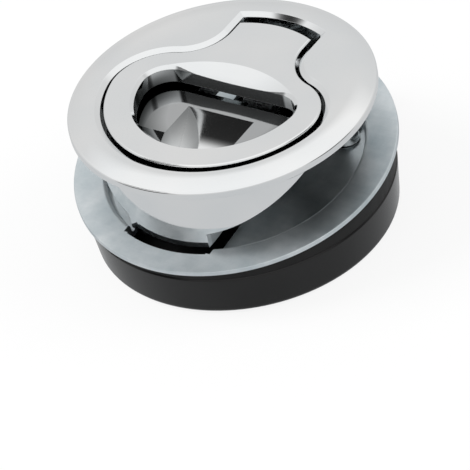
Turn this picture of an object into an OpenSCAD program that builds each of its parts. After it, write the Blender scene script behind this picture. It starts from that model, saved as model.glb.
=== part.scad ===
// Round flush pull latch: a chromed bezel with a lift ring, a steel clamp plate
// behind the panel and a black case with a spring bolt.
// The back of the case lies on z = 0, +Z points out of the panel and the bolt points along +X.

/* [Latch] */
// Depth from the back of the case to the face of the bezel
total_h = 32; // [30:0.5:40]
// Distance that the bolt is drawn back
bolt_travel = 7.2; // [6:0.1:7.2]
// Turn of the lift ring that draws the bolt back fully
ring_turn = 38; // [30:1:38]

/* [Bezel] */
// Outer radius of the bezel
bezel_r = 31.75; // [31:0.25:34]
// Thickness of the bezel
bezel_t = 2.6; // [2.2:0.1:3]
// Width of the soft dome at the rim
dome_w = 5; // [3:0.5:5]
// Fall of the soft dome
dome_drop = 0.8; // [0.4:0.1:1]
// Radius of the cup just under the bezel
cup_top_r = 27; // [26.8:0.1:27.4]
// Radius of the cup at its lowest edge
cup_low_r = 26.2; // [25.8:0.1:26.8]
// Height of the lowest edge of the cup above the back of the case
cup_low_z = 15.5; // [15.3:0.1:17]
// Wall of the cup
cup_wall = 1.5; // [1:0.1:1.8]
// Width of the deep trough under the finger hole
trough_w = 21; // [19:0.5:22]
// Slope of the cup floor beside the trough
floor_slope = 32.6; // [25:0.2:38]
// Height of the locating spigot under the bezel
spigot_h = 3.4; // [2.5:0.1:4]

/* [Recess and ring] */
// Radius of the round part of the recess
recess_r = 24.9; // [24.5:0.1:25.2]
// Depth of the recess under the ring
recess_d = 5; // [4.6:0.1:5.4]
// Half width of the head of the recess
head_hw = 9.4; // [9:0.1:10]
// Radius of the end of the recess head
recess_end_r = 26.2; // [25.8:0.1:26.4]
// Radius of the hollow shoulders beside the head
shoulder_r = 9.7; // [9:0.1:10.4]
// Radius of the round corners before the shoulders
corner_r = 9; // [8:0.1:10]
// Place of the shoulder centres along the latch
shoulder_x = 17.8; // [17:0.1:18.6]
// Bevel round the recess
bevel = 1.2; // [0.6:0.1:1.4]
// Gap between the ring and the recess
ring_gap = 1.1; // [0.8:0.05:1.4]
// Thickness of the ring
ring_t = 3.8; // [3.2:0.1:4]
// Radius of the end of the ring head
ring_end_r = 22.9; // [22.4:0.1:23.4]
// Radius of the finger hole
hole_r = 18; // [17:0.1:18.6]
// Place of the straight side of the finger hole
hole_x = 4.6; // [3.5:0.1:5.4]
// Corner radius of the finger hole
hole_corner_r = 4; // [3:0.1:5]

/* [Pivot] */
// Place of the pivot pin along the latch
pivot_x = 18; // [17.5:0.1:18.2]
// Depth of the pivot pin under the face
pivot_d = 4.6; // [4.4:0.1:5]
// Radius of the pivot pin
pin_r = 1.5; // [1.3:0.05:1.6]
// Running clearance round a pin or shaft
run_gap = 0.05; // [0.02:0.01:0.08]
// Wire of the ring springs
ring_wire = 0.6; // [0.4:0.05:0.7]

/* [Clamp plate] */
// Outer radius of the clamp plate
plate_r = 34.35; // [33.5:0.05:35]
// Radius where its rim turns down
dish_r = 27; // [26.5:0.1:27.2]
// Thickness of its sheet
sheet_t = 1.2; // [0.8:0.1:1.4]
// Depth of its dish
dish_d = 2.5; // [2:0.1:3]
// Height of the middle of its rim above the back of the case
plate_z = 16; // [15.8:0.1:18]
// Lean of the loosely drawn plate towards the bolt
plate_lean = 6; // [4:0.5:6.5]
// Half width of the slot through its dish
slot_hw = 11.5; // [11.2:0.1:12.5]

/* [Case] */
// Radius of the case at its joint
case_r = 32.5; // [32.2:0.1:33]
// Radius of the case at its back
case_back_r = 31.7; // [31:0.1:32]
// Height of the joint between cover and carrier
joint_z = 9.5; // [9.2:0.1:10]
// Wall of the case
case_wall = 2.2; // [1.8:0.1:2.6]
// Height of the carrier floor above the back
floor_z = 5; // [4.6:0.1:5.2]
// Thickness of the carrier floor
floor_t = 2; // [1.6:0.1:2.1]
// Gap between faces that seat on each other
seat_gap = 0.05; // [0.02:0.01:0.1]

/* [Bolt] */
// Half width of the bolt nose
nose_hw = 5; // [4:0.1:6]
// Half width of the bolt body
body_hw = 7.5; // [6.5:0.1:8]
// Height of the bolt
bolt_h = 6; // [5:0.1:6]
// Reach of the nose from the middle of the latch
nose_x = 39.5; // [37:0.5:42]
// Free gap beside the bolt
slide_gap = 0.25; // [0.15:0.05:0.4]
// Wire of the bolt springs
bolt_wire = 0.7; // [0.5:0.05:0.8]

/* [Screws] */
// Radius of the clamp screws
clamp_screw_r = 2; // [1.8:0.1:2.2]
// Place of the clamp screws along the latch
clamp_x = 12.5; // [12:0.1:13.5]
// Place of the clamp screws across the latch
clamp_y = 19.3; // [18.6:0.1:19.6]
// Radius of the cover screws
cover_screw_r = 1.3; // [1:0.1:1.5]

/* [Hidden] */
$fn = 96;
eps = 0.01;

face_z = total_h;
seat_z = face_z - bezel_t;
shelf_z = face_z - recess_d;
pivot_z = face_z - pivot_d;

// The recess outline: a round body, two round corners, two hollow shoulders and a head
shoulder_y = head_hw + shoulder_r;
shoulder_far = sqrt(shoulder_x * shoulder_x + shoulder_y * shoulder_y);
corner_far = recess_r - corner_r;
corner_turn = acos((corner_far * corner_far + shoulder_far * shoulder_far
    - (corner_r + shoulder_r) * (corner_r + shoulder_r)) / (2 * corner_far * shoulder_far));
corner_a = atan2(shoulder_y, shoulder_x) + corner_turn;
corner_x = corner_far * cos(corner_a);
corner_y = corner_far * sin(corner_a);

// The finger hole outline: an arc and a straight side with two round corners
hole_corner_x = hole_x - hole_corner_r;
hole_corner_y = sqrt((hole_r - hole_corner_r) * (hole_r - hole_corner_r) - hole_corner_x * hole_corner_x);

// The cup
trough_hw = trough_w / 2;
trough_in_hw = trough_hw - cup_wall;
trough_z = cup_low_z + cup_wall;
trough_end_x = 2.3;
spigot_z = seat_z - spigot_h;
slope_low_z = 18.8;
slope_low_x = -24.1;
slope_top_x = slope_low_x + (spigot_z - slope_low_z) / tan(floor_slope);
bay_x = 3.4;
ledge_w = 0.5;
bay_end_r = recess_end_r - 0.8;
bay_hw = head_hw - 0.6;
ear_t = 2.3;
ear_z = 22;
window_r = 4.4;

// The ring
ring_r = recess_r - ring_gap;
ring_top_edge = 0.5;
hole_bevel = 0.7;
scoop_far_x = 8.5;
scoop_d = 1;
hub_r = 3;
hub_hw = 4.2;
coil_room = 2.9;
arm_hw = 4;
arm_r = 2.2;
arm_len = bolt_travel / sin(ring_turn) - 0.1;
arm_z = pivot_z - arm_len;

// The clamp screws and their bosses
boss_r = 2.7;
peg_r = 1.7;
peg_x = 16.3;
peg_y = 18.9;
boss_z = plate_z - dish_d + (clamp_x + boss_r) * sin(plate_lean) + 0.2;
clamp_hole_x = (clamp_x - (dish_d + sheet_t / 2) * sin(plate_lean)) / cos(plate_lean);
slot_end_x = 24;
clamp_head_r = 3.6;
clamp_head_h = 2.2;
washer_r = 4.1;
washer_t = 0.5;
clamp_bore_end = 23;

// The case
cover_floor = 2.2;
tub_r = case_r - case_wall - 0.9;
tub_wall = 2;
ring_in_r = dish_r + sheet_t + 0.4;
floor_top = floor_z + floor_t;
bolt_z = floor_top + slide_gap;
bolt_top = bolt_z + bolt_h;
rail_in = body_hw + slide_gap;
rail_w = 2.6;
rail_x = 7;
rail_end_x = 27.4;
guide_z = bolt_top + slide_gap;
guide_t = 1;
guide_x = 20.5;
guide_w = 3.2;
stop_x = -16;
stop_t = 2;
spring_y = 4.6;
spring_z = bolt_z + bolt_h / 2;
tail_x = 9;
pocket_d = 2.2;
pocket_r = 2.35;
lug_x = pivot_x - arm_r - 0.3;
lug_t = 3.2;
lug_top = 19.2;
catch_step = 0.15;
catch_x = plate_r + 0.4;
body_top = bolt_top - catch_step;
cover_screws = [[-24.4, 0], [2, 24.4], [2, -24.4]];
cover_post_r = 3;
cover_head_r = 2.6;
cover_head_h = 1.4;

// A cylinder from height z0 to z1 with the radii r0 and r1
module tube_between(z0, z1, r0, r1) {
    translate([0, 0, z0]) cylinder(h = z1 - z0, r1 = r0, r2 = r1);
}

// The lift ring's outline as a solid, grown by g0 at height z0 and by g1 at z1
module recess_solid(z0, z1, g0, g1, end_r) {
    far = 3 * recess_r;
    sx = far * cos(corner_a);
    sy = far * sin(corner_a);
    difference() {
        union() {
            intersection() {
                tube_between(z0, z1, recess_r + g0, recess_r + g1);
                translate([0, 0, z0])
                    linear_extrude(z1 - z0)
                        polygon([[0, 0], [sx, sy], [-far, sy], [-far, -sy], [sx, -sy]]);
            }
            for (s = [-1, 1])
                translate([corner_x, s * corner_y, 0])
                    tube_between(z0, z1, corner_r + g0, corner_r + g1);
            translate([0, 0, z0])
                linear_extrude(z1 - z0)
                    polygon([[0, 0], [corner_x, -corner_y], [shoulder_x, -shoulder_y],
                        [shoulder_x, shoulder_y], [corner_x, corner_y]]);
            intersection() {
                tube_between(z0, z1, end_r + g0, end_r + g1);
                translate([shoulder_x - eps, 0, 0])
                    rotate([90, 0, 90])
                        linear_extrude(end_r)
                            polygon([[-head_hw - g0, z0], [head_hw + g0, z0],
                                [head_hw + g1, z1], [-head_hw - g1, z1]]);
            }
        }
        for (s = [-1, 1])
            translate([shoulder_x, s * shoulder_y, 0])
                tube_between(z0 - eps, z1 + eps, shoulder_r - g0, shoulder_r - g1);
    }
}

// The finger hole's outline as a solid, grown by g0 at height z0 and by g1 at z1
module hole_solid(z0, z1, g0, g1) {
    far = 3 * hole_r;
    sx = hole_corner_x * far;
    sy = hole_corner_y * far;
    intersection() {
        tube_between(z0, z1, hole_r + g0, hole_r + g1);
        translate([0, 0, z0])
            linear_extrude(z1 - z0)
                polygon([[0, 0], [sx, sy], [-far, sy], [-far, -sy], [sx, -sy]]);
    }
    for (s = [-1, 1])
        translate([hole_corner_x, s * hole_corner_y, 0])
            tube_between(z0, z1, hole_corner_r + g0, hole_corner_r + g1);
    translate([0, hole_corner_y, 0])
        rotate([90, 0, 0])
            linear_extrude(2 * hole_corner_y)
                polygon([[-eps, z0], [hole_x + g0, z0], [hole_x + g1, z1], [-eps, z1]]);
}

// The bezel's disc with its domed edge
module bezel_disc() {
    dome_in = bezel_r - dome_w;
    edge = 0.45;
    dome_end = bezel_r - edge;
    rho = ((dome_end - dome_in) * (dome_end - dome_in) + dome_drop * dome_drop) / (2 * dome_drop);
    sweep = asin((dome_end - dome_in) / rho);
    dome = [for (k = [0:6]) [dome_in + rho * sin(sweep * k / 6), face_z - rho * (1 - cos(sweep * k / 6))]];
    rotate_extrude()
        polygon(concat([[0, seat_z], [bezel_r - 0.3, seat_z], [bezel_r, seat_z + 0.3],
            [bezel_r, face_z - dome_drop - edge]],
            [for (k = [6:-1:0]) dome[k]], [[0, face_z]]));
}

// The cup's outer form: a cone whose floor is a deep trough beside a rising slope
module cup_outer() {
    tube_between(spigot_z, seat_z + eps, cup_top_r, cup_top_r);
    intersection() {
        tube_between(cup_low_z, seat_z + eps, cup_low_r, cup_top_r - 0.02);
        union() {
            translate([0, bezel_r, 0])
                rotate([90, 0, 0])
                    linear_extrude(2 * bezel_r)
                        polygon([[-bezel_r, slope_low_z - (bezel_r + slope_low_x) * tan(floor_slope)],
                            [slope_top_x, spigot_z], [bezel_r, spigot_z],
                            [bezel_r, seat_z + eps], [-bezel_r, seat_z + eps]]);
            translate([-bezel_r, -trough_hw, cup_low_z])
                cube([bezel_r + trough_end_x, trough_w, face_z - cup_low_z]);
            translate([bay_x, -head_hw - ear_t, ear_z])
                cube([bezel_r, 2 * (head_hw + ear_t), face_z - ear_z]);
        }
    }
}

// The room inside the cup under the ring
module cup_inner() {
    intersection() {
        tube_between(trough_z - 1, shelf_z + eps, recess_r - 2 * ledge_w, recess_r - ledge_w);
        union() {
            translate([0, bezel_r, 0])
                rotate([90, 0, 0])
                    linear_extrude(2 * bezel_r)
                        polygon([[-bezel_r, slope_low_z + cup_wall / cos(floor_slope)
                            - (bezel_r + slope_low_x) * tan(floor_slope)],
                            [slope_top_x, spigot_z + cup_wall / cos(floor_slope)],
                            [slope_top_x, shelf_z + 1], [-bezel_r, shelf_z + 1]]);
            translate([-bezel_r, -trough_in_hw, trough_z])
                cube([bezel_r + trough_end_x - cup_wall, 2 * trough_in_hw, face_z - trough_z]);
        }
    }
}

// The open bay for the arm and the head of the ring
module arm_bay() {
    translate([bay_x, -bay_hw, cup_low_z - 1])
        intersection() {
            cube([bezel_r, 2 * bay_hw, shelf_z - cup_low_z + 1 + eps]);
            translate([-bay_x, bay_hw, 0]) cylinder(h = face_z, r = bay_end_r);
        }
}

// Chromed casting with the flange, the cup, the ears for the pin and the screw bosses
module bezel() {
    color([0.84, 0.84, 0.85])
    difference() {
        union() {
            bezel_disc();
            cup_outer();
            for (s = [-1, 1]) {
                translate([clamp_x, s * clamp_y, boss_z])
                    cylinder(h = seat_z - boss_z, r = boss_r);
                translate([peg_x, s * peg_y, boss_z + 0.6])
                    cylinder(h = seat_z - boss_z - 0.6, r = peg_r);
            }
        }
        recess_solid(shelf_z, face_z - bevel * 0.6, 0, 0, recess_end_r);
        recess_solid(face_z - bevel * 0.6 - eps, face_z + eps, 0, bevel, recess_end_r);
        cup_inner();
        arm_bay();
        translate([trough_end_x - cup_wall - 1, 0, (trough_z + shelf_z) / 2])
            rotate([0, 90, 0]) cylinder(h = cup_wall + 3, r = window_r);
        for (s = [-1, 1]) {
            translate([clamp_x, s * clamp_y, boss_z - eps])
                cylinder(h = clamp_bore_end - boss_z, r = clamp_screw_r + run_gap);
            translate([pivot_x - 3, s * (head_hw + ear_t + 2) - 2, ear_z])
                cube([6, 4, face_z - 2 - ear_z]);
        }
        translate([pivot_x, 0, pivot_z])
            rotate([90, 0, 0]) cylinder(h = 2 * (head_hw + ear_t) + 1, r = pin_r + run_gap, center = true);
    }
}

// The arm that hangs from the ring's hub and pushes the bolt's lug
module ring_arm() {
    translate([pivot_x, arm_hw, arm_z])
        rotate([90, 0, 0]) cylinder(h = 2 * arm_hw, r = arm_r);
    translate([pivot_x - arm_r, -arm_hw, arm_z])
        cube([2 * arm_r, 2 * arm_hw, arm_len]);
}

// The lift ring with its finger hole, thumb scoop, hub and arm
module pull_ring() {
    color([0.84, 0.84, 0.85])
    difference() {
        union() {
            recess_solid(face_z - ring_t, face_z - ring_top_edge, -ring_gap, -ring_gap,
                ring_end_r + ring_gap);
            recess_solid(face_z - ring_top_edge, face_z, -ring_gap, -ring_gap - ring_top_edge,
                ring_end_r + ring_gap);
            translate([pivot_x, head_hw - ring_gap, pivot_z])
                rotate([90, 0, 0]) cylinder(h = 2 * (head_hw - ring_gap), r = hub_r);
            translate([pivot_x - hub_r, -head_hw + ring_gap, pivot_z])
                cube([2 * hub_r, 2 * (head_hw - ring_gap), face_z - ring_t - pivot_z + eps]);
            ring_arm();
        }
        hole_solid(face_z - ring_t - 1, face_z - hole_bevel, 0, 0);
        hole_solid(face_z - hole_bevel - eps, face_z + eps, 0, hole_bevel);
        thumb_scoop();
        for (s = [-1, 1])
            translate([pivot_x - hub_r - 1, s * (hub_hw + coil_room / 2) - coil_room / 2,
                pivot_z - hub_r - 1])
                cube([2 * hub_r + 2, coil_room, hub_r + 1 + 2.7]);
        translate([pivot_x, 0, pivot_z])
            rotate([90, 0, 0]) cylinder(h = 3 * head_hw, r = pin_r + run_gap, center = true);
    }
}

// The shallow scoop beyond the straight side of the finger hole
module thumb_scoop() {
    scoop_w = 37.5;
    near = scoop_w - (scoop_far_x - hole_x);
    sum = (scoop_w * scoop_w - near * near) / scoop_d;
    top = (sum - scoop_d) / 2;
    ball = sqrt(top * top + scoop_w * scoop_w);
    intersection() {
        translate([scoop_far_x - scoop_w, 0, face_z + top]) sphere(r = ball, $fn = 200);
        translate([1, -hole_corner_y - 3, face_z - 2]) cube([scoop_far_x, 2 * hole_corner_y + 6, 4]);
    }
}

// The pin with a groove near each end
module pivot_pin() {
    half = head_hw + ear_t + 1.7;
    groove = head_hw + ear_t + 0.2;
    color([0.7, 0.71, 0.72])
    translate([pivot_x, 0, pivot_z])
        rotate([90, 0, 0])
            rotate_extrude()
                polygon([[0, -half], [pin_r - 0.2, -half], [pin_r, -half + 0.2],
                    [pin_r, -groove - 0.75], [pin_r - 0.4, -groove - 0.75], [pin_r - 0.4, -groove],
                    [pin_r, -groove], [pin_r, groove], [pin_r - 0.4, groove],
                    [pin_r - 0.4, groove + 0.75], [pin_r, groove + 0.75],
                    [pin_r, half - 0.2], [pin_r - 0.2, half], [0, half]]);
}

// A spring clip in the pin's groove, on the side s
module pin_clip(s) {
    groove = head_hw + ear_t + 0.2;
    in_r = pin_r - 0.4 + run_gap;
    color([0.35, 0.36, 0.38])
    translate([pivot_x, s * (groove + 0.375), pivot_z])
        rotate([90, 0, 0])
            difference() {
                cylinder(h = 0.65, r = 2.5, center = true);
                cylinder(h = 1, r = in_r, center = true);
                translate([-in_r * 0.8, -3, -0.5]) cube([in_r * 1.6, 3, 1]);
                for (a = [35, 145])
                    rotate(a) translate([1.9, 0, 0]) cylinder(h = 1, r = 0.5, center = true);
            }
}

// A wire along a path of points, with sides corners
module wire(path, r, sides = 8) {
    n = len(path);
    function dir(k) = let (a = path[max(k - 1, 0)], b = path[min(k + 1, n - 1)]) (b - a) / norm(b - a);
    function across(d) = let (h = abs(d[1]) < 0.9 ? [0, 1, 0] : [1, 0, 0], c = cross(d, h)) c / norm(c);
    pts = [for (k = [0:n - 1]) let (d = dir(k), u = across(d), v = cross(d, u))
        for (j = [0:sides - 1]) path[k] + r * (u * cos(360 * j / sides) + v * sin(360 * j / sides))];
    faces = concat([[for (j = [0:sides - 1]) j]],
        [for (k = [0:n - 2]) for (j = [0:sides - 1])
            [k * sides + j, (k + 1) * sides + j,
                (k + 1) * sides + (j + 1) % sides, k * sides + (j + 1) % sides]],
        [[for (j = [sides - 1:-1:0]) (n - 1) * sides + j]]);
    polyhedron(points = pts, faces = faces, convexity = 8);
}

// The coil spring round the pin that holds the ring shut, on the side s
module ring_spring(s) {
    mean_r = pin_r + 0.25 + ring_wire / 2;
    turns = 3;
    steps = 12;
    start_y = s * (hub_hw + 0.25 + ring_wire / 2);
    pitch = (coil_room - 0.5 - ring_wire) / turns;
    leg = 3.5;
    coil = [for (k = [0:turns * steps + 3]) let (a = -90 + 360 * k / steps)
        [pivot_x + mean_r * cos(a), start_y + s * pitch * min(k / steps, turns), pivot_z + mean_r * sin(a)]];
    first = coil[0];
    last = coil[len(coil) - 1];
    color([0.6, 0.61, 0.62])
        wire(concat([first + [-leg, 0, 0]], coil, [last + [0, 0, -leg]]), ring_wire / 2);
}

// A place in the plate's own flat frame, leaned about the middle of its rim
module leaned() {
    translate([0, 0, plate_z]) rotate([0, -plate_lean, 0]) children();
}

// Pressed steel plate: a flat rim, a shallow dish, a slot for the cup and two relief notches
module clamp_plate() {
    notch = 2.2;
    mouth_hw = 9.5;
    mouth_r = 28.4;
    bend = 0.8;
    color([0.62, 0.66, 0.69])
    leaned()
        difference() {
            rotate_extrude()
                polygon([[0, -dish_d - sheet_t], [dish_r + sheet_t - bend, -dish_d - sheet_t],
                    [dish_r + sheet_t, -dish_d - sheet_t + bend], [dish_r + sheet_t, -sheet_t],
                    [plate_r, -sheet_t], [plate_r, 0], [dish_r + bend, 0], [dish_r + bend * 0.3, -bend * 0.3],
                    [dish_r, -bend], [dish_r, -dish_d], [0, -dish_d]]);
            translate([-dish_r, -slot_hw, -dish_d - 2 * sheet_t])
                cube([dish_r + slot_end_x, 2 * slot_hw, 3 * sheet_t]);
            translate([0, 0, -dish_d - 2 * sheet_t])
                intersection() {
                    cylinder(h = dish_d + 3 * sheet_t, r = mouth_r);
                    translate([-plate_r, -mouth_hw, 0]) cube([plate_r, 2 * mouth_hw, dish_d + 3 * sheet_t]);
                }
            for (s = [-1, 1]) {
                translate([0, 0, -dish_d - 2 * sheet_t])
                    linear_extrude(dish_d + 3 * sheet_t)
                        polygon([[-25.2, s * slot_hw], [-27.4, s * (slot_hw - 1.2)],
                            [-26.4, s * (slot_hw + notch)], [-23.6, s * (slot_hw + notch)]]);
                translate([clamp_hole_x, s * clamp_y, -dish_d - 2 * sheet_t])
                    cylinder(h = 3 * sheet_t, r = clamp_screw_r + 0.3);
            }
        }
}

// A half space under the clamp plate's rim, used to slope the top of the carrier
module under_plate() {
    leaned() translate([-50, -50, -sheet_t - seat_gap - 60]) cube([100, 100, 60]);
}

// Moulded carrier: a wedge shaped wall under the plate, a floor, the bolt's channel and the spring stop
module bolt_carrier() {
    color([0.09, 0.09, 0.09])
    difference() {
        union() {
            intersection() {
                rotate_extrude()
                    polygon([[0, floor_z], [tub_r, floor_z], [tub_r, joint_z + seat_gap],
                        [case_r - 0.15, joint_z + seat_gap], [case_r - 0.15, joint_z + 14],
                        [ring_in_r, joint_z + 14], [ring_in_r, joint_z - 0.8],
                        [tub_r - tub_wall, joint_z - 0.8], [tub_r - tub_wall, floor_top], [0, floor_top]]);
                under_plate();
            }
            for (s = [-1, 1])
                translate([rail_x, s * (rail_in + rail_w / 2) - rail_w / 2, floor_top - eps])
                    cube([rail_end_x - rail_x, rail_w, guide_z - floor_top + eps]);
            translate([stop_x, -body_hw, floor_top - eps])
                cube([stop_t, 2 * body_hw, bolt_top - floor_top]);
            for (s = [-1, 1])
                translate([stop_x + stop_t - eps, s * spring_y, spring_z])
                    rotate([0, 90, 0]) cylinder(h = 3, r = 1.2);
            for (p = cover_screws)
                translate([p[0], p[1], cover_floor + seat_gap])
                    cylinder(h = floor_z - cover_floor - seat_gap + eps, r = cover_post_r);
        }
        translate([20, -nose_hw - slide_gap, floor_top])
            cube([20, 2 * (nose_hw + slide_gap), bolt_h + 2 * slide_gap]);
        for (s = [-1, 1]) {
            translate([clamp_x, s * clamp_y, floor_z - 1])
                cylinder(h = 5, r = clamp_screw_r + 0.3);
            translate([guide_x + guide_w / 2, s * (rail_in + rail_w / 2), guide_z - 4])
                cylinder(h = 5, r = 0.7);
        }
        for (p = cover_screws)
            translate([p[0], p[1], cover_floor])
                cylinder(h = floor_top - cover_floor - 0.6, r = cover_screw_r + run_gap);
    }
}

// Moulded rear cover with the counterbores for the screws
module rear_cover() {
    post_top = floor_z - seat_gap;
    edge = 1.4;
    color([0.06, 0.06, 0.065])
    difference() {
        union() {
            rotate_extrude()
                polygon(concat([[0, 0]],
                    [for (k = [0:6]) [case_back_r - edge + edge * sin(15 * k), edge - edge * cos(15 * k)]],
                    [[case_r, joint_z - 0.35], [case_r - 0.35, joint_z], [tub_r + 0.2, joint_z],
                    [tub_r + 0.2, cover_floor], [0, cover_floor]]));
            for (s = [-1, 1])
                translate([clamp_x, s * clamp_y, cover_floor - eps])
                    cylinder(h = post_top - cover_floor, r = washer_r + 1);
        }
        translate([20, -nose_hw - slide_gap, floor_top])
            cube([20, 2 * (nose_hw + slide_gap), joint_z]);
        for (s = [-1, 1])
            translate([clamp_x, s * clamp_y, -eps]) {
                cylinder(h = 10, r = clamp_screw_r + 0.3);
                cylinder(h = 0.4 + clamp_head_h + washer_t + seat_gap + eps, r = washer_r + 0.3);
            }
        for (p = cover_screws)
            translate([p[0], p[1], -eps]) {
                cylinder(h = 10, r = cover_screw_r + 0.2);
                cylinder(h = cover_head_h, r1 = cover_head_r + 0.1, r2 = cover_screw_r + 0.2);
            }
    }
}

// The bolt: a nose with a slanted inner face, a wide body, a lug for the arm and two spring pockets
module latch_bolt() {
    slant = 5.4;
    tub_in_r = tub_r - tub_wall;
    body_end_x = sqrt(tub_in_r * tub_in_r - body_hw * body_hw) - 0.5;
    color([0.72, 0.73, 0.74])
    difference() {
        union() {
            translate([tail_x, -body_hw, bolt_z])
                cube([body_end_x - tail_x, 2 * body_hw, bolt_h - catch_step]);
            translate([0, nose_hw, 0])
                rotate([90, 0, 0])
                    linear_extrude(2 * nose_hw)
                        polygon([[tail_x, bolt_z], [nose_x - slant, bolt_z], [nose_x - 0.4, bolt_top - 1.2],
                            [nose_x, bolt_top - 0.6], [nose_x - 0.5, bolt_top], [catch_x, bolt_top],
                            [catch_x - catch_step, body_top], [tail_x, body_top]]);
            translate([lug_x - lug_t, -nose_hw, body_top - eps])
                cube([lug_t, 2 * nose_hw, lug_top - body_top + eps]);
        }
        for (s = [-1, 1])
            translate([tail_x - eps, s * spring_y, spring_z])
                rotate([0, 90, 0]) cylinder(h = pocket_d, r = pocket_r);
    }
}

// A compression spring between the stop and the bolt's tail, on the side s
module bolt_spring(s) {
    mean_r = 1.2 + 0.2 + bolt_wire / 2;
    x0 = stop_x + stop_t + bolt_wire / 2 + seat_gap;
    x1 = tail_x + pocket_d - bolt_wire / 2 - seat_gap;
    turns = 9;
    steps = 12;
    color([0.6, 0.61, 0.62])
        wire([for (k = [0:turns * steps]) let (t = k / steps,
                f = t < 1 ? t * bolt_wire : t > turns - 1 ? x1 - x0 - (turns - t) * bolt_wire
                    : bolt_wire + (t - 1) * (x1 - x0 - 2 * bolt_wire) / (turns - 2))
            [x0 + f, s * spring_y + mean_r * cos(360 * t), spring_z + mean_r * sin(360 * t)]], bolt_wire / 2);
}

// Steel strip that keeps the bolt down in its channel
module guide_plate() {
    half = rail_in + rail_w - 0.2;
    color([0.62, 0.66, 0.69])
    difference() {
        translate([guide_x, -half, guide_z + seat_gap]) cube([guide_w, 2 * half, guide_t]);
        for (s = [-1, 1])
            translate([guide_x + guide_w / 2, s * (rail_in + rail_w / 2), guide_z - 1])
                cylinder(h = 4, r = 0.85);
    }
}

// A small screw of the guide plate, on the side s
module guide_screw(s) {
    color([0.7, 0.71, 0.72])
    translate([guide_x + guide_w / 2, s * (rail_in + rail_w / 2), guide_z + guide_t + 2 * seat_gap]) {
        cylinder(h = 0.7, r = 1.25);
        translate([0, 0, -3.6]) cylinder(h = 3.7, r = 0.65);
    }
}

// A long clamp screw from the back of the case into the bezel's boss, on the side s
module clamp_screw(s) {
    color([0.7, 0.71, 0.72])
    translate([clamp_x, s * clamp_y, 0])
        difference() {
            union() {
                translate([0, 0, 0.4]) cylinder(h = clamp_head_h, r = clamp_head_r);
                translate([0, 0, 0.4]) cylinder(h = clamp_bore_end - 0.6 - 0.4, r = clamp_screw_r);
            }
            for (a = [0, 90])
                rotate(a) translate([-1.9, -0.45, 0.3]) cube([3.8, 0.9, 1.4]);
        }
}

// The washer under a clamp screw's head, on the side s
module clamp_washer(s) {
    color([0.7, 0.71, 0.72])
    translate([clamp_x, s * clamp_y, 0.4 + clamp_head_h + seat_gap / 2])
        difference() {
            cylinder(h = washer_t, r = washer_r);
            translate([0, 0, -1]) cylinder(h = 3, r = clamp_screw_r + 0.15);
        }
}

// A countersunk screw that holds the cover to the carrier, at the place p
module cover_screw(p) {
    color([0.7, 0.71, 0.72])
    translate([p[0], p[1], 0.1])
        difference() {
            union() {
                cylinder(h = cover_head_h - 0.1, r1 = cover_head_r - 0.1, r2 = cover_screw_r);
                cylinder(h = floor_top - 1.2, r = cover_screw_r);
            }
            for (a = [45, 135])
                rotate(a) translate([-1.3, -0.3, -0.1]) cube([2.6, 0.6, 0.9]);
        }
}

bezel();
pull_ring();
pivot_pin();
pin_clip(1);  // pin_clip_left
pin_clip(-1);  // pin_clip_right
ring_spring(1);  // ring_spring_left
ring_spring(-1);  // ring_spring_right
clamp_plate();
bolt_carrier();
rear_cover();
latch_bolt();
bolt_spring(1);  // bolt_spring_left
bolt_spring(-1);  // bolt_spring_right
guide_plate();
guide_screw(1);  // guide_screw_left
guide_screw(-1);  // guide_screw_right
clamp_screw(1);  // clamp_screw_left
clamp_screw(-1);  // clamp_screw_right
clamp_washer(1);  // clamp_washer_left
clamp_washer(-1);  // clamp_washer_right
cover_screw(cover_screws[0]);  // cover_screw_1
cover_screw(cover_screws[1]);  // cover_screw_2
cover_screw(cover_screws[2]);  // cover_screw_3
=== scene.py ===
# %% [markdown]
# A flush pull latch, dressed for a studio picture.
# The solids of the latch come from its CAD model and stay as they are.
# This lesson gives each of them the finish that the real piece has, and then
# builds the floor, the lamps and the camera round them.

# %% Load the solids
import math

import bpy
from mathutils import Matrix, Vector


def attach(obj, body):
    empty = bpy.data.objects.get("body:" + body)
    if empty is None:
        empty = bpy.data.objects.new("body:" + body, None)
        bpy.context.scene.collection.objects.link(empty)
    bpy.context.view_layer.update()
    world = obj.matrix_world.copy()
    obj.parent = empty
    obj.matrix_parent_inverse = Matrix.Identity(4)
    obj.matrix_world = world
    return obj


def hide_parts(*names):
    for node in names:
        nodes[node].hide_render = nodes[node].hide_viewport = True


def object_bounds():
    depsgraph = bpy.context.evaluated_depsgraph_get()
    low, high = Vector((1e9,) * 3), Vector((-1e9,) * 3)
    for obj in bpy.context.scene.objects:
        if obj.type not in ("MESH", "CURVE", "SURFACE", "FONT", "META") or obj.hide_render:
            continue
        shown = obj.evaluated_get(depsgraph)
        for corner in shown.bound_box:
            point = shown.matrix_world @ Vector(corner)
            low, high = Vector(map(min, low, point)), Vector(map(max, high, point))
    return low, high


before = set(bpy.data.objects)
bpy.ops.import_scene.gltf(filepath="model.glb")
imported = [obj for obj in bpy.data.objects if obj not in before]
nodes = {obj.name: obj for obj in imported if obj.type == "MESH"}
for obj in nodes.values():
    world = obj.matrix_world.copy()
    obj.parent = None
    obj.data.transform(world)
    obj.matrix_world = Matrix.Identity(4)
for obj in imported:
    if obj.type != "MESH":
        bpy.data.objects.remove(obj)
cad_low, cad_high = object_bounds()
scene = bpy.context.scene
print("solids:", len(nodes), "box from", tuple(cad_low), "to", tuple(cad_high))

# %% [markdown]
# The camera comes first, because every look is judged through it.
# The picture was taken with a long lens from a good half metre away, so the
# round bezel shows as a clean ellipse. The place and the turn of the camera are
# given in the frame of the latch, whose bolt points along X.

# %% Place the camera
CAMERA_PLACE = (-0.494478, -0.41898, 0.509884)
CAMERA_TURN = (50.7986, 10.1751, -57.5904)
CAMERA_LENS = 306.4

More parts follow.
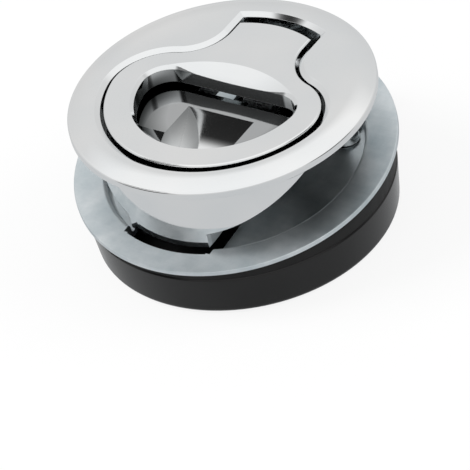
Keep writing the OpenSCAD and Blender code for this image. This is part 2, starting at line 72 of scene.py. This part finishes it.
camera_data = bpy.data.cameras.new("camera")
camera_data.sensor_width = 36
camera_data.lens = CAMERA_LENS
camera_data.clip_start = 0.05
camera_data.clip_end = 20
camera = bpy.data.objects.new("camera", camera_data)
camera.location = CAMERA_PLACE
camera.rotation_euler = [math.radians(turn) for turn in CAMERA_TURN]
scene.collection.objects.link(camera)
scene.camera = camera
print("camera lens", CAMERA_LENS, "mm at", CAMERA_PLACE)

# %% [markdown]
# The bezel and the lift ring are two polished die castings, and they fill the
# picture. A mirror finish shows every facet, so both are built again here as
# finer solids than the plain ones of the model. Each form starts as a closed
# mesh through rings of points: a turned piece, an outline that grows with its
# height, or a slab with a cut side.

# %% Closed meshes to join and cut
MM = 0.001


def lofted(name, rings):
    """A closed solid through rings of (x, y, z) in millimetres, each ring anticlockwise seen from the last."""
    count = len(rings[0])
    points = [(x * MM, y * MM, z * MM) for ring in rings for x, y, z in ring]
    faces = [tuple(reversed(range(count))), tuple(range(len(points) - count, len(points)))]
    for level in range(len(rings) - 1):
        for step in range(count):
            first = level * count + step
            second = level * count + (step + 1) % count
            faces.append((first, second, second + count, first + count))
    mesh = bpy.data.meshes.new(name)
    mesh.from_pydata(points, [], faces)
    piece = bpy.data.objects.new(name, mesh)
    scene.collection.objects.link(piece)
    return piece


def turned(name, profile, centre=(0, 0), steps=216):
    turns = [math.tau * step / steps for step in range(steps)]
    return lofted(name, [[(centre[0] + radius * math.cos(turn), centre[1] + radius * math.sin(turn), z)
                          for turn in turns] for radius, z in profile])


def slab(name, side, half_width, middle=0.0):
    """A slab across the latch whose side is a list of (x, z), anticlockwise seen from the right."""
    return lofted(name, [[(x, middle + half_width, z) for x, z in side],
                         [(x, middle - half_width, z) for x, z in side]])


def rod(name, x, z, radius, half_width, middle=0.0, steps=64):
    turns = [math.tau * step / steps for step in range(steps)]
    return slab(name, [(x + radius * math.cos(turn), z + radius * math.sin(turn)) for turn in turns],
                half_width, middle)


def shaped(name, outline, levels):
    """A solid whose outline(grow) is taken at each (height, grow) of levels."""
    return lofted(name, [[(x, y, z) for x, y in outline(grow)] for z, grow in levels])


# %% [markdown]
# Boolean modifiers join and cut these solids, and are applied at once. Faces
# that meet softly are then shaded as one surface, and a Weighted Normal
# modifier keeps the flat faces truly flat in the reflections.

# %% Join, cut and smooth
def combine(base, *steps):
    """Applies (operation, tool) pairs to base in their order and drops the tools."""
    for operation, tool in steps:
        change = base.modifiers.new(tool.name, "BOOLEAN")
        change.operation = operation
        change.object = tool
        change.solver = "EXACT"
    bpy.context.view_layer.update()
    result = base.evaluated_get(bpy.context.evaluated_depsgraph_get())
    mesh = bpy.data.meshes.new_from_object(result)
    base.modifiers.clear()
    base.data = mesh
    for operation, tool in steps:
        bpy.data.objects.remove(tool)
    return base


def polish(piece, sharp_degrees=12):
    piece.data.shade_smooth()
    piece.data.set_sharp_from_angle(angle=math.radians(sharp_degrees))
    weighted = piece.modifiers.new("flat faces", "WEIGHTED_NORMAL")
    weighted.keep_sharp = True
    print(piece.name, "has", len(piece.data.polygons), "faces")


# %% [markdown]
# The recess and the ring share one outline: a round body, two round corners,
# two hollow shoulders and a square head whose end is an arc. Arcs that touch
# each other smoothly give it, and growing it only changes their radii.

# %% The outline of the ring and its recess
FACE_Z = 32.0
SEAT_Z = 29.4
RECESS_R, HEAD_HALF, SHOULDER_R, CORNER_R, SHOULDER_X = 24.9, 9.4, 9.7, 12.0, 17.8
SHOULDER_Y = HEAD_HALF + SHOULDER_R
CORNER_FAR = RECESS_R - CORNER_R
SHOULDER_FAR = math.hypot(SHOULDER_X, SHOULDER_Y)
corner_turn = math.acos((CORNER_FAR ** 2 + SHOULDER_FAR ** 2 - (CORNER_R + SHOULDER_R) ** 2)
                        / (2 * CORNER_FAR * SHOULDER_FAR))
CORNER_A = math.atan2(SHOULDER_Y, SHOULDER_X) + corner_turn
CORNER_X, CORNER_Y = CORNER_FAR * math.cos(CORNER_A), CORNER_FAR * math.sin(CORNER_A)
TO_CORNER = math.atan2(CORNER_Y - SHOULDER_Y, CORNER_X - SHOULDER_X) % math.tau - math.tau


def arc(centre, radius, start, stop, count):
    return [(centre[0] + radius * math.cos(start + (stop - start) * k / count),
             centre[1] + radius * math.sin(start + (stop - start) * k / count)) for k in range(count + 1)]


def mirrored_loop(upper):
    """Closes an upper half, from the +X end round to the -X end, with its mirror image."""
    return upper + [(x, -y) for x, y in reversed(upper[1:-1])]


def recess_outline(grow, end_r):
    end_a = math.asin((HEAD_HALF + grow) / (end_r + grow))
    upper = arc((0, 0), end_r + grow, 0, end_a, 10)
    upper += arc((SHOULDER_X, SHOULDER_Y), SHOULDER_R - grow, -math.pi / 2, TO_CORNER, 24)
    upper += arc((CORNER_X, CORNER_Y), CORNER_R + grow, TO_CORNER + math.pi, CORNER_A, 30)[1:]
    upper += arc((0, 0), RECESS_R + grow, CORNER_A, math.pi, 70)[1:]
    return mirrored_loop(upper)


def recess_form(grow):
    return recess_outline(grow, 25.2)


def ring_form(grow):
    return recess_outline(grow, 23.4)


HOLE_R, HOLE_X, HOLE_CORNER = 18.0, 3.5, 5.5
HOLE_CX = HOLE_X - HOLE_CORNER
HOLE_CY = math.sqrt((HOLE_R - HOLE_CORNER) ** 2 - HOLE_CX ** 2)


def hole_form(grow):
    turn = math.atan2(HOLE_CY, HOLE_CX)
    upper = [(HOLE_X + grow, 0.0)] + arc((HOLE_CX, HOLE_CY), HOLE_CORNER + grow, 0, turn, 20)
    upper += arc((0, 0), HOLE_R + grow, turn, math.pi, 70)[1:]
    return mirrored_loop(upper)


print("outline points:", len(recess_form(0)), "and", len(hole_form(0)))

# %% [markdown]
# The bezel is a domed disc over a cup. The cup is a cone whose floor rises
# towards the pivot, with a deeper trough in the middle for the fingers. The
# inside repeats the outside one wall thickness further in.

# %% The bezel
CUP_LOW_Z, CUP_WALL, SPIGOT_Z, SHELF_Z = 13.3, 1.5, 26.0, 27.0
TROUGH_HALF = 9.4
FLOOR_RISE = math.tan(math.radians(30.2))
SWEEP_X, SWEEP_R = -24.0, 26.8
BEZEL_R, DOME_W, DOME_DROP, EDGE = 31.75, 5.0, 0.8, 0.45
PIVOT_X, PIVOT_Z, EAR_T, EAR_Z = 18.0, 27.4, 2.3, 22.0
FLOOR_LEVEL = 31.38


def floor_side(lift, stop_x, top):
    """The side of the sloping part of the cup, lifted by lift, up to stop_x."""
    return [(-33, FLOOR_LEVEL + lift - 33 * FLOOR_RISE), (stop_x, FLOOR_LEVEL + lift + stop_x * FLOOR_RISE),
            (33, FLOOR_LEVEL + lift + stop_x * FLOOR_RISE), (33, top), (-33, top)]


def trough_side(wall, high, top):
    """The side of the trough: a level bottom that sweeps up in an arc to the height high."""
    radius = SWEEP_R + CUP_WALL - wall
    middle = CUP_LOW_Z + CUP_WALL + SWEEP_R
    last = math.acos((middle - high) / radius)
    sweep = [(SWEEP_X + radius * math.sin(last * k / 28), middle - radius * math.cos(last * k / 28))
             for k in range(29)]
    return [(-33, middle - radius)] + sweep + [(sweep[-1][0], top), (-33, top)]


dome_in = BEZEL_R - DOME_W
dome_end = BEZEL_R - EDGE
dome_run = dome_end - dome_in
dome_rho = (dome_run ** 2 + DOME_DROP ** 2) / (2 * DOME_DROP)
dome_sweep = math.asin(dome_run / dome_rho)
dome = [(dome_in + dome_rho * math.sin(dome_sweep * k / 20),
         FACE_Z - dome_rho * (1 - math.cos(dome_sweep * k / 20))) for k in range(20, -1, -1)]
lip = [(BEZEL_R - EDGE + EDGE * math.cos(math.radians(15 * k)),
        FACE_Z - DOME_DROP - EDGE + EDGE * math.sin(math.radians(15 * k))) for k in range(6)]
casting = turned("bezel_casting", [(BEZEL_R - 0.3, SEAT_Z), (BEZEL_R, SEAT_Z + 0.3)] + lip + dome, steps=360)
cup = turned("cup", [(26.94, CUP_LOW_Z - 0.5), (26.98, SEAT_Z + 0.01)], steps=288)
floors = combine(slab("floor_slope", floor_side(0, (SPIGOT_Z - FLOOR_LEVEL) / FLOOR_RISE, 34), 33),
                 ("UNION", slab("trough", trough_side(0, SPIGOT_Z, 34), TROUGH_HALF)),
                 ("UNION", slab("ears", [(3.4, EAR_Z), (33, EAR_Z), (33, 34), (3.4, 34)], HEAD_HALF + EAR_T)))
combine(cup, ("INTERSECT", floors))
room = turned("room", [(RECESS_R - 1.0, CUP_LOW_Z + 0.5), (RECESS_R - 0.5, SHELF_Z + 0.01)], steps=288)
floor_wall = CUP_WALL / math.cos(math.radians(30.2))
inner = combine(slab("inner_slope", floor_side(floor_wall, (SPIGOT_Z - FLOOR_LEVEL) / FLOOR_RISE, 35), 33),
                ("UNION", slab("inner_trough", trough_side(CUP_WALL, 28, 35), TROUGH_HALF - CUP_WALL)))
combine(room, ("INTERSECT", inner))
print("cup from", CUP_LOW_Z, "to", SEAT_Z, "mm")

# %% [markdown]
# The disc and the cup are joined with the bosses for the clamp screws. Then the
# recess with its bevel, the room of the cup, the bay for the arm, the bores and
# the pockets of the pin clips are cut out.

# %% Join and cut the bezel
BEVEL = 1.1
BOSS_Z = 15.289
bosses = [("UNION", turned("boss", [(2.7, BOSS_Z), (2.7, SEAT_Z + 0.02)], (12.5, side * 19.3), 48))
          for side in (1, -1)]
bosses += [("UNION", turned("peg", [(1.7, BOSS_Z + 0.6), (1.7, SEAT_Z + 0.02)], (16.3, side * 18.9), 32))
           for side in (1, -1)]
spigot = turned("spigot", [(27.0, SPIGOT_Z), (27.0, SEAT_Z + 0.02)], steps=288)
cuts = [("DIFFERENCE", shaped("recess", recess_form, [(SHELF_Z, 0), (FACE_Z - 0.7, 0), (FACE_Z + 0.02, BEVEL)])),
        ("DIFFERENCE", room)]
bay = combine(slab("bay", [(3.4, CUP_LOW_Z - 1), (33, CUP_LOW_Z - 1), (33, SHELF_Z + 0.01), (3.4, SHELF_Z + 0.01)],
                   HEAD_HALF - 0.6),
              ("INTERSECT", turned("bay_end", [(24.2, 5), (24.2, 30)], steps=160)))
cuts.append(("DIFFERENCE", bay))
for side in (1, -1):
    cuts.append(("DIFFERENCE", turned("bore", [(2.05, BOSS_Z - 1), (2.05, 23.0)], (12.5, side * 19.3), 32)))
    cuts.append(("DIFFERENCE", slab("clip_pocket", [(PIVOT_X - 3, EAR_Z - 1), (PIVOT_X + 3, EAR_Z - 1),
                                                    (PIVOT_X + 3, 30.0), (PIVOT_X - 3, 30.0)],
                                    2.0, side * (HEAD_HALF + EAR_T + 2))))
cuts.append(("DIFFERENCE", rod("pin_bore", PIVOT_X, PIVOT_Z, 1.55, HEAD_HALF + EAR_T + 0.5)))
combine(casting, ("UNION", spigot), ("UNION", cup), *bosses, *cuts)
polish(casting)
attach(casting, "case")
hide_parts("bezel")

# %% [markdown]
# The lift ring is a flat plate with softly rounded edges, a finger hole with a
# bevel, and a shallow scoop for the thumb beyond the hole's straight side. Its
# hub, which turns on the pin between the ears, carries the arm that draws the
# bolt back.

# %% The lift ring
RING_GAP, RING_T, HUB_R, HUB_HALF, COIL_ROOM = 0.75, 3.8, 3.0, 4.2, 2.9
RING_LOW = FACE_Z - RING_T
edge_levels = [(FACE_Z - 0.45 * (1 - math.sin(math.radians(15 * k))),
                -RING_GAP - 0.45 * (1 - math.cos(math.radians(15 * k)))) for k in range(7)]
ring = shaped("lift_ring", ring_form, [(RING_LOW, -RING_GAP - 0.15), (RING_LOW + 0.15, -RING_GAP)] + edge_levels)
hub = rod("hub", PIVOT_X, PIVOT_Z, HUB_R, HEAD_HALF - 1.1)
neck = slab("neck", [(PIVOT_X - HUB_R, PIVOT_Z), (PIVOT_X + HUB_R, PIVOT_Z), (PIVOT_X + HUB_R, RING_LOW + 0.4),
                     (PIVOT_X - HUB_R, RING_LOW + 0.4)], HEAD_HALF - 1.1)
arm_low = 15.805
arm = slab("arm", [(PIVOT_X + 2.2 * math.cos(math.radians(turn)), arm_low + 2.2 * math.sin(math.radians(turn)))
                   for turn in range(-180, 1, 9)] + [(PIVOT_X + 2.2, PIVOT_Z), (PIVOT_X - 2.2, PIVOT_Z)], 4.0)
hole = shaped("finger_hole", hole_form, [(RING_LOW - 1, 0), (FACE_Z - 0.7, 0), (FACE_Z + 0.02, 0.72)])
SCOOP_W, SCOOP_FAR, SCOOP_TOP = 26.0, 8.4, 114.9
ball = math.hypot(SCOOP_TOP, SCOOP_W)
lens = turned("scoop", [(17.0 + 0.4 * k, FACE_Z + SCOOP_TOP - math.sqrt(ball ** 2 - (17.0 + 0.4 * k) ** 2))
                        for k in range(25)], (SCOOP_FAR - SCOOP_W, 0), 480)
combine(lens, ("INTERSECT", slab("scoop_room", [(1, 30), (12, 30), (12, 32.4), (1, 32.4)], HOLE_CY + 3)))
rooms = [("DIFFERENCE", slab("coil_room", [(PIVOT_X - 4, PIVOT_Z - 4), (PIVOT_X + 4, PIVOT_Z - 4),
                                           (PIVOT_X + 4, PIVOT_Z + 2.7), (PIVOT_X - 4, PIVOT_Z + 2.7)],
                             COIL_ROOM / 2, side * (HUB_HALF + COIL_ROOM / 2))) for side in (1, -1)]
combine(ring, ("UNION", hub), ("UNION", neck), ("UNION", arm), ("DIFFERENCE", hole), ("DIFFERENCE", lens),
        *rooms, ("DIFFERENCE", rod("pin_hole", PIVOT_X, PIVOT_Z, 1.55, 15)))
polish(ring)
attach(ring, "ring")
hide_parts("pull_ring")

# %% [markdown]
# The clamp plate is pressed from sheet steel: a flat rim, a softly bent step and
# a shallow dish. It was drawn up loosely, so it leans towards the bolt by a few
# degrees. A slot lets the cup through, and the slot runs out into the rim.

# %% The clamp plate
PLATE_R, DISH_R, SHEET, DISH_D, PLATE_Z, LEAN, SLOT_HALF = 33.95, 27.0, 1.2, 2.5, 16.0, 6.0, 10.4
CLAMP_HOLE_X = (12.5 - (DISH_D + SHEET / 2) * math.sin(math.radians(LEAN))) / math.cos(math.radians(LEAN))


def bend(centre_r, centre_z, radius, start, stop, count=8):
    return [(centre_r + radius * math.cos(math.radians(start + (stop - start) * k / count)),
             centre_z + radius * math.sin(math.radians(start + (stop - start) * k / count)))
            for k in range(count + 1)]


under = [(0.01, -DISH_D - SHEET)] + bend(DISH_R - 0.2, -DISH_D + 0.2, 1.4, -90, 0)
under += [(DISH_R + 1.2, -SHEET), (PLATE_R - 0.2, -SHEET), (PLATE_R, -SHEET + 0.2)]
over = [(PLATE_R, -0.25), (PLATE_R - 0.07, -0.07), (PLATE_R - 0.25, 0)] + bend(DISH_R + 1.0, -1.0, 1.0, 90, 180)
over += bend(DISH_R - 0.6, -DISH_D + 0.6, 0.6, 0, -90, 5) + [(0.01, -DISH_D)]
plate = turned("pressed_plate", under + over, steps=288)
slot_low, slot_top = -DISH_D - 2 * SHEET, 3 * SHEET
slot = slab("slot", [(-DISH_R, slot_low), (24, slot_low), (24, slot_top), (-DISH_R, slot_top)], SLOT_HALF)
mouth = combine(slab("mouth", [(-PLATE_R, slot_low), (0, slot_low), (0, slot_top), (-PLATE_R, slot_top)], 9.5),
                ("INTERSECT", turned("mouth_end", [(28.9, slot_low - 1), (28.9, slot_top + 1)], steps=160)))
holes = [("DIFFERENCE", turned("screw_hole", [(2.3, slot_low), (2.3, slot_top)], (CLAMP_HOLE_X, side * 19.3), 40))
         for side in (1, -1)]
combine(plate, ("DIFFERENCE", slot), ("DIFFERENCE", mouth), *holes)
lean = Matrix.Translation((0, 0, PLATE_Z * MM)) @ Matrix.Rotation(math.radians(-LEAN), 4, "Y")
plate.data.transform(lean)
polish(plate, 25)
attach(plate, "case")
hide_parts("clamp_plate")

# %% [markdown]
# Every finish is a small graph of nodes. Three helpers keep the graphs short:
# one makes an empty material with its Principled shader, one adds a node and
# sets its inputs, and one adds a noise pattern measured in millimetres.


# %% Helpers for the node graphs
def add_node(tree, kind, settings=None, **inputs):
    node = tree.nodes.new("ShaderNode" + kind)
    for key, value in (settings or {}).items():
        setattr(node, key, value)
    for key, value in inputs.items():
        socket = node.inputs[int(key[1:])] if key[0] == "n" and key[1:].isdigit() else node.inputs[key.replace("_", " ")]
        if isinstance(value, bpy.types.NodeSocket):
            tree.links.new(value, socket)
        else:
            socket.default_value = value
    return node


def new_finish(name, **inputs):
    material = bpy.data.materials.new(name)
    material.use_nodes = True
    tree = material.node_tree
    shader = tree.nodes["Principled BSDF"]
    for key, value in inputs.items():
        shader.inputs[key.replace("_", " ")].default_value = value
    return material, tree, shader


def noise(tree, size_mm, detail=3.0, stretch=(1, 1, 1), roughness=0.5):
    place = add_node(tree, "TexCoord").outputs["Object"]
    scaled = add_node(tree, "Mapping", n0=place, n3=stretch).outputs["Vector"]
    return add_node(tree, "TexNoise", Vector=scaled, Scale=1000.0 / size_mm,
                    Detail=detail, Roughness=roughness).outputs["Fac"]


def spread(tree, value, low, high, to_low, to_high):
    return add_node(tree, "MapRange", n0=value, n1=low, n2=high, n3=to_low, n4=to_high).outputs["Result"]


def two_tones(tree, value, low_tone, high_tone, low=0.35, high=0.65):
    ramp = add_node(tree, "ValToRGB", Fac=value)
    ramp.color_ramp.elements[0].position = low
    ramp.color_ramp.elements[0].color = (*low_tone, 1)
    ramp.color_ramp.elements[1].position = high
    ramp.color_ramp.elements[1].color = (*high_tone, 1)
    return ramp.outputs["Color"]


def by_height(tree, height, stops):
    """A value that follows (height in millimetres, level) stops, lowest first."""
    low, high = stops[0][0], stops[-1][0]
    ramp = add_node(tree, "ValToRGB", Fac=spread(tree, height, low / 1000, high / 1000, 0.0, 1.0))
    for index, (place, level) in enumerate(stops):
        mark = ramp.color_ramp.elements[0] if index == 0 else (
            ramp.color_ramp.elements[len(ramp.color_ramp.elements) - 1] if index == len(stops) - 1
            else ramp.color_ramp.elements.new((place - low) / (high - low)))
        mark.color = (level, level, level, 1)
    return ramp.outputs["Color"]


def relief(tree, shader, height, distance_mm, strength=1.0, edge_mm=0.0):
    bump = add_node(tree, "Bump", Height=height, Distance=distance_mm / 1000.0, Strength=strength)
    if edge_mm:
        soft = add_node(tree, "Bevel", {"samples": 6}, Radius=edge_mm / 1000.0)
        tree.links.new(soft.outputs["Normal"], bump.inputs["Normal"])
    tree.links.new(bump.outputs["Normal"], shader.inputs["Normal"])


def dress(material, *pieces):
    for piece in pieces:
        solid = nodes[piece] if isinstance(piece, str) else piece
        solid.data.materials.clear()
        solid.data.materials.append(material)
    print(material.name, "on", len(pieces), "pieces")


# %% [markdown]
# The bezel and the ring are die castings with a polished chrome plating.
# A mirror alone looks false. Real plating has a very faint waviness left by
# the casting, a haze that comes and goes, and edges that are never quite sharp,
# which the Bevel node rounds in the shading. Down in the recess and the cup the
# base colour is painted dark, as painted shade and painted dark reflections. It is
# a little less dark under the finger hole, as painted light.

# %% Chrome plating
chrome, tree, shader = new_finish("chrome_plating", Metallic=1.0, IOR=2.5)
haze = noise(tree, 9.0, 4.0)
tint = two_tones(tree, noise(tree, 22.0, 2.0), (0.845, 0.862, 0.870), (0.905, 0.908, 0.905))
# Painted shade and painted reflection: inside the cup the base colour is darkened by height towards near black, and
# less so under the finger hole, where light is painted in.
spot = add_node(tree, "SeparateXYZ", n0=add_node(tree, "TexCoord").outputs["Object"])
flat = add_node(tree, "CombineXYZ", n0=spot.outputs["X"], n1=spot.outputs["Y"])
from_axis = add_node(tree, "VectorMath", {"operation": "LENGTH"}, n0=flat.outputs[0]).outputs["Value"]
inside_cup_for_shade = spread(tree, from_axis, 0.0256, 0.0260, 1.0, 0.0)
painted_shade_by_height = by_height(tree, spot.outputs["Z"], ((13, 0.35), (19, 0.15), (22, 0.35), (25.5, 0.86),
                                        (27.2, 0.95), (29.5, 0.62), (31.3, 0.0)))
painted_light_under_hole = spread(tree, from_axis, 0.012, 0.0175, 0.48, 1.0)
painted_shade_by_height = add_node(tree, "Math", {"operation": "MULTIPLY"}, n0=painted_light_under_hole, n1=painted_shade_by_height).outputs[0]
painted_shade = add_node(tree, "Math", {"operation": "MULTIPLY"}, n0=inside_cup_for_shade, n1=painted_shade_by_height).outputs[0]
tint_with_painted_shade = add_node(tree, "Mix", {"data_type": "RGBA"}, n0=painted_shade, n6=tint, n7=(0.05, 0.055, 0.055, 1)).outputs[2]
tree.links.new(tint_with_painted_shade, shader.inputs["Base Color"])
tree.links.new(spread(tree, haze, 0.3, 0.75, 0.045, 0.085), shader.inputs["Roughness"])
relief(tree, shader, noise(tree, 14.0, 1.0), 0.03, 0.12, 0.12)
dress(chrome, casting, ring)

# %% [markdown]
# The clamp plate is pressed from thin steel and zinc plated. Its bluish
# passivation lies in soft clouds, with faint streaks that follow the rolled
# sheet, so two noises of different scale are mixed for colour and roughness.

# %% Zinc plated sheet
zinc, tree, shader = new_finish("zinc_plated_sheet", Metallic=1.0)
clouds = noise(tree, 12.0, 5.0, roughness=0.6)
streaks = noise(tree, 1.6, 3.0, (1.0, 0.12, 1.0))
mixed = add_node(tree, "Mix", {"data_type": "FLOAT"}, n0=0.16, n2=clouds, n3=streaks).outputs[0]
tone = two_tones(tree, mixed, (0.57, 0.64, 0.67), (0.86, 0.90, 0.92), 0.36, 0.66)
tree.links.new(tone, shader.inputs["Base Color"])
tree.links.new(spread(tree, mixed, 0.3, 0.7, 0.36, 0.48), shader.inputs["Roughness"])
relief(tree, shader, noise(tree, 0.6, 2.0), 0.01, 0.25, 0.15)
dress(zinc, plate, "guide_plate")

# %% [markdown]
# The case is moulded in two blacks: a satin carrier above and a glossy cover
# below. The satin comes from a fine grain in the mould; the cover only has the
# slight flow marks that every glossy moulding shows.

# %% Moulded blacks
satin, tree, shader = new_finish("satin_black_moulding", IOR=1.5, Specular_IOR_Level=0.25)
tree.links.new(two_tones(tree, noise(tree, 5.0), (0.006, 0.006, 0.006), (0.010, 0.010, 0.010)),
               shader.inputs["Base Color"])
tree.links.new(spread(tree, noise(tree, 2.5), 0.3, 0.7, 0.46, 0.58), shader.inputs["Roughness"])
relief(tree, shader, noise(tree, 0.25, 2.0), 0.02, 0.35, 0.2)
dress(satin, "bolt_carrier")

gloss, tree, shader = new_finish("glossy_black_moulding", IOR=1.52, Specular_IOR_Level=0.3)
tree.links.new(two_tones(tree, noise(tree, 16.0), (0.004, 0.004, 0.004), (0.007, 0.007, 0.007)),
               shader.inputs["Base Color"])
tree.links.new(spread(tree, noise(tree, 7.0), 0.3, 0.7, 0.14, 0.22), shader.inputs["Roughness"])
relief(tree, shader, noise(tree, 11.0, 1.0), 0.05, 0.15, 0.2)
dress(gloss, "rear_cover")

# %% [markdown]
# The bolt, the screws and the springs are bare or plated steel. The bolt has
# fine grinding lines along its length, the turned pieces a finer, rounder
# scatter, and the springs are darker drawn wire.

# %% Steel of the small pieces
ground, tree, shader = new_finish("ground_steel", Metallic=1.0)
lines = noise(tree, 0.5, 3.0, (0.06, 1.0, 1.0))
tree.links.new(two_tones(tree, lines, (0.52, 0.53, 0.54), (0.70, 0.71, 0.71)), shader.inputs["Base Color"])
tree.links.new(spread(tree, lines, 0.3, 0.7, 0.24, 0.36), shader.inputs["Roughness"])
relief(tree, shader, lines, 0.01, 0.3, 0.15)
dress(ground, "latch_bolt")

bright, tree, shader = new_finish("bright_screw_steel", Metallic=1.0)
specks = noise(tree, 0.8, 3.0)
tree.links.new(two_tones(tree, specks, (0.60, 0.61, 0.62), (0.76, 0.77, 0.78)), shader.inputs["Base Color"])
tree.links.new(spread(tree, specks, 0.3, 0.7, 0.18, 0.30), shader.inputs["Roughness"])
relief(tree, shader, specks, 0.005, 0.2, 0.1)
dress(bright, "pivot_pin", "clamp_screw_left", "clamp_screw_right", "clamp_washer_left",
      "clamp_washer_right", "guide_screw_left", "guide_screw_right",
      "cover_screw_1", "cover_screw_2", "cover_screw_3")

spring_wire, tree, shader = new_finish("drawn_spring_wire", Metallic=1.0)
drawn = noise(tree, 0.7, 2.0)
tree.links.new(two_tones(tree, drawn, (0.34, 0.34, 0.35), (0.50, 0.50, 0.51)), shader.inputs["Base Color"])
tree.links.new(spread(tree, drawn, 0.3, 0.7, 0.26, 0.38), shader.inputs["Roughness"])
relief(tree, shader, drawn, 0.004, 0.2)
dress(spring_wire, "pin_clip_left", "pin_clip_right", "ring_spring_left", "ring_spring_right",
      "bolt_spring_left", "bolt_spring_right")

# %% [markdown]
# The latch stands on a plain white floor. The camera sees the floor almost
# white, as in a catalogue picture, yet part of its real shading is kept so
# that the shadow under the case stays. The paper is clear from below, so the
# back of the case can be looked at too.

# %% The floor
FLOOR_SIZE = 3.0
floor_data = bpy.data.meshes.new("floor")
half = FLOOR_SIZE / 2
floor_z = cad_low[2] - 0.00002
floor_data.from_pydata([(-half, -half, floor_z), (half, -half, floor_z), (half, half, floor_z),
                        (-half, half, floor_z)], [], [(0, 1, 2, 3)])
floor = bpy.data.objects.new("floor", floor_data)
scene.collection.objects.link(floor)

paper, tree, shader = new_finish("white_paper", Roughness=0.9, Specular_IOR_Level=0.0)
shader.inputs["Base Color"].default_value = (0.9, 0.9, 0.9, 1)
path = add_node(tree, "LightPath")
glow = add_node(tree, "Emission", Color=(1, 1, 1, 1), Strength=1.0)
share = add_node(tree, "Math", {"operation": "MULTIPLY"}, n0=path.outputs["Is Camera Ray"], n1=0.86)
mirror_tone = add_node(tree, "Emission", Color=(0.62, 0.63, 0.64, 1), Strength=1.0)
inside = add_node(tree, "MixShader", n0=path.outputs["Is Glossy Ray"], n1=shader.outputs["BSDF"],
                  n2=mirror_tone.outputs["Emission"])
both = add_node(tree, "MixShader", n0=share.outputs[0], n1=inside.outputs["Shader"], n2=glow.outputs["Emission"])
under_side = add_node(tree, "NewGeometry").outputs["Backfacing"]
one_sided = add_node(tree, "MixShader", n0=under_side, n1=both.outputs["Shader"],
                     n2=add_node(tree, "BsdfTransparent").outputs["BSDF"])
tree.links.new(one_sided.outputs["Shader"], tree.nodes["Material Output"].inputs["Surface"])
floor.data.materials.append(paper)
print("floor at", round(floor_z * 1000, 3), "mm")

# %% [markdown]
# Chrome has no colour of its own: it shows the room. The room here is the world,
# written as a function of direction: pale paper all round, a brighter tent
# overhead, and a few dark flags, which give the plating its crisp dark streaks.

# %% The room that the chrome reflects
world = bpy.data.worlds.new("studio_tent")
scene.world = world
world.use_nodes = True
tree = world.node_tree
tree.nodes.clear()
direction = add_node(tree, "TexCoord").outputs["Generated"]
height = add_node(tree, "SeparateXYZ", n0=direction).outputs["Z"]
ramp = add_node(tree, "ValToRGB", Fac=spread(tree, height, -1.0, 1.0, 0.0, 1.0))
tent = ramp.color_ramp
tent.elements[0].position = 0.0
tent.elements[0].color = (0.75, 0.75, 0.75, 1)
tent.elements[1].position = 1.0
tent.elements[1].color = (1.0, 1.0, 1.0, 1)
for place, level in ((0.50, 0.72), (0.62, 0.70), (0.81, 0.75), (0.87, 0.95)):
    tent.elements.new(place).color = (level, level, level, 1)


def flag(before, aim, wide, soft, level):
    """A dark or bright round patch of the room towards aim, wide and soft in degrees."""
    aim = Vector(aim).normalized()
    toward = add_node(tree, "VectorMath", {"operation": "DOT_PRODUCT"}, n0=direction, n1=tuple(aim)).outputs["Value"]
    mask = add_node(tree, "MapRange", {"interpolation_type": "SMOOTHSTEP"}, n0=toward,
                    n1=math.cos(math.radians(wide + soft)), n2=math.cos(math.radians(wide))).outputs["Result"]
    return add_node(tree, "Mix", {"data_type": "RGBA"}, n0=mask, n6=before, n7=(level, level, level, 1)).outputs[2]


room = ramp.outputs["Color"]
room = flag(room, (-0.16, 0.51, 0.845), 7, 5, 0.03)
room = flag(room, (-0.46, 0.51, 0.727), 5, 6, 1.0)
room = flag(room, (-0.80, 0.45, 0.40), 14, 10, 0.03)
room = flag(room, (0.3, -0.9, 0.35), 14, 10, 0.10)
path = add_node(tree, "LightPath")
seen = add_node(tree, "Background", Color=(1, 1, 1, 1), Strength=1.0)
lit = add_node(tree, "Background", Color=(1, 1, 1, 1), Strength=0.62)
mirrored = add_node(tree, "Background", Color=room, Strength=1.0)
first = add_node(tree, "MixShader", n0=path.outputs["Is Glossy Ray"], n1=lit.outputs[0], n2=mirrored.outputs[0])
last = add_node(tree, "MixShader", n0=path.outputs["Is Camera Ray"], n1=first.outputs[0], n2=seen.outputs[0])
output = add_node(tree, "OutputWorld", Surface=last.outputs[0])
print("room made of", len(tree.nodes), "nodes")

# %% [markdown]
# One large soft lamp above and to the left does the modelling, and a weaker one
# on the right opens the shadows. Both are hidden from the mirror finish, which
# takes its lights from the room alone.


# %% Lamps
def soft_lamp(name, place, aim, size, watts):
    lamp = bpy.data.lights.new(name, "AREA")
    lamp.shape = "DISK"
    lamp.size = size
    lamp.energy = watts
    holder = bpy.data.objects.new(name, lamp)
    holder.location = place
    holder.rotation_euler = (Vector(aim) - Vector(place)).to_track_quat("-Z", "Y").to_euler()
    holder.visible_glossy = False
    scene.collection.objects.link(holder)
    print(name, "at", place, "with", watts, "W")


soft_lamp("key_lamp", (-0.30, 0.55, 0.75), (0, 0, 0), 0.5, 5.0)
soft_lamp("fill_lamp", (0.35, -0.60, 0.60), (0, 0, 0), 0.6, 2.5)
scene.view_settings.view_transform = "Standard"
